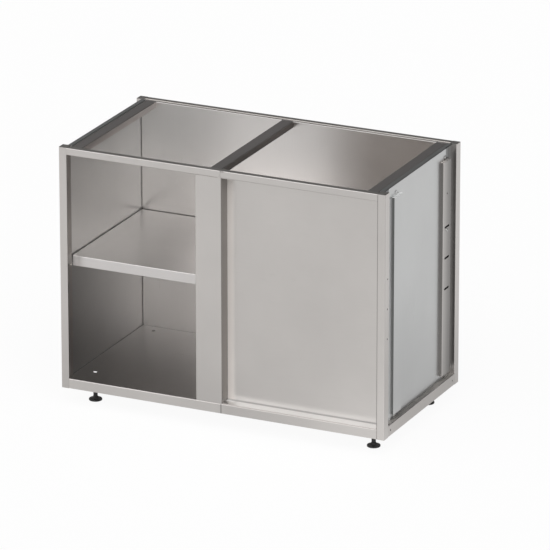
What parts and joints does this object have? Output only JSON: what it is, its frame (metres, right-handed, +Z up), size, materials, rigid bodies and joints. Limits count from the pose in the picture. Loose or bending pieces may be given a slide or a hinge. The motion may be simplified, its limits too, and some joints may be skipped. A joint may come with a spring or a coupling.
{
  "type": "corner base cabinet",
  "caption": "Blind corner base cabinet in brushed sheet steel with an open bay, a loose shelf, an open top and levelling feet.",
  "frame": {"origin": "on the floor under the middle of the cabinet", "axes": "+X to the right along the front, +Y towards the back, +Z up; the open bay is at -X, the front is at -Y"},
  "size_m": [1.2, 0.62, 0.925],
  "materials": {
    "frame_steel": "fine brushed, satin",
    "sheet_steel": "fine brushed, satin",
    "fastener_steel": "bright, zinc plated",
    "foot_plastic": "matt black"
  },
  "bodies": {
    "carcass": {"front_post_left": "frame_steel", "front_post_right": "frame_steel", "rear_post_left": "frame_steel", "rear_post_right": "frame_steel", "centre_stile": "frame_steel", "top_rail_front_left": "frame_steel", "top_rail_front_right": "frame_steel", "bottom_rail_front_left": "frame_steel", "bottom_rail_front_right": "frame_steel", "top_rail_rear": "frame_steel", "bottom_rail_rear": "frame_steel", "side_bottom_rail_left": "frame_steel", "side_bottom_rail_right": "frame_steel", "cross_member_left": "frame_steel", "cross_member_middle": "frame_steel", "cross_member_right": "frame_steel", "floor_bearer": "frame_steel", "hanger_rail_front_left": "frame_steel", "hanger_rail_rear_left": "frame_steel", "hanger_rail_front_right": "frame_steel", "hanger_rail_rear_right": "frame_steel", "shelf_runner_left": "frame_steel", "shelf_runner_right": "frame_steel", "side_panel_left": "sheet_steel", "side_panel_right": "sheet_steel", "back_panel": "sheet_steel", "blank_panel": "sheet_steel", "floor_panel": "sheet_steel", "runner_screws": "fastener_steel", "runner_nuts": "fastener_steel", "rail_rivets": "fastener_steel", "lock_screws": "fastener_steel", "foot_bracket_front_left": "fastener_steel", "foot_bracket_front_right": "fastener_steel", "foot_bracket_rear_left": "fastener_steel", "foot_bracket_rear_right": "fastener_steel"},
    "shelf": {"shelf": "sheet_steel"},
    "foot_base_front_left": {"foot_base_front_left": "foot_plastic"},
    "foot_stem_front_left": {"foot_stem_front_left": "fastener_steel", "foot_sleeve_front_left": "foot_plastic"},
    "foot_base_front_right": {"foot_base_front_right": "foot_plastic"},
    "foot_stem_front_right": {"foot_stem_front_right": "fastener_steel", "foot_sleeve_front_right": "foot_plastic"},
    "foot_base_rear_left": {"foot_base_rear_left": "foot_plastic"},
    "foot_stem_rear_left": {"foot_stem_rear_left": "fastener_steel", "foot_sleeve_rear_left": "foot_plastic"},
    "foot_base_rear_right": {"foot_base_rear_right": "foot_plastic"},
    "foot_stem_rear_right": {"foot_stem_rear_right": "fastener_steel", "foot_sleeve_rear_right": "foot_plastic"}
  },
  "joints": [
    {"name": "shelf_lift", "type": "slide", "parent": "carcass", "child": "shelf", "axis": [0, 0, 1], "range_m": [0, 0.22]},
    {"name": "foot_travel_front_left", "type": "slide", "parent": "carcass", "child": "foot_base_front_left", "axis": [0, 0, -1], "range_m": [-0.012, 0.012]},
    {"name": "foot_turn_front_left", "type": "hinge", "parent": "foot_base_front_left", "child": "foot_stem_front_left", "pos_m": [-0.52, -0.215, 0.03], "axis": [0, 0, -1], "range_deg": [-2890, 2890]},
    {"name": "foot_travel_front_right", "type": "slide", "parent": "carcass", "child": "foot_base_front_right", "axis": [0, 0, -1], "range_m": [-0.012, 0.012]},
    {"name": "foot_turn_front_right", "type": "hinge", "parent": "foot_base_front_right", "child": "foot_stem_front_right", "pos_m": [0.52, -0.215, 0.03], "axis": [0, 0, -1], "range_deg": [-2890, 2890]},
    {"name": "foot_travel_rear_left", "type": "slide", "parent": "carcass", "child": "foot_base_rear_left", "axis": [0, 0, -1], "range_m": [-0.012, 0.012]},
    {"name": "foot_turn_rear_left", "type": "hinge", "parent": "foot_base_rear_left", "child": "foot_stem_rear_left", "pos_m": [-0.52, 0.234, 0.03], "axis": [0, 0, -1], "range_deg": [-2890, 2890]},
    {"name": "foot_travel_rear_right", "type": "slide", "parent": "carcass", "child": "foot_base_rear_right", "axis": [0, 0, -1], "range_m": [-0.012, 0.012]},
    {"name": "foot_turn_rear_right", "type": "hinge", "parent": "foot_base_rear_right", "child": "foot_stem_rear_right", "pos_m": [0.52, 0.234, 0.03], "axis": [0, 0, -1], "range_deg": [-2890, 2890]}
  ],
  "couplings": [
    {"joint": "foot_turn_front_left", "follows": "foot_travel_front_left", "rad_per_m": 4188.8},
    {"joint": "foot_turn_front_right", "follows": "foot_travel_front_right", "rad_per_m": 4188.8},
    {"joint": "foot_turn_rear_left", "follows": "foot_travel_rear_left", "rad_per_m": 4188.8},
    {"joint": "foot_turn_rear_right", "follows": "foot_travel_rear_right", "rad_per_m": 4188.8}
  ]
}
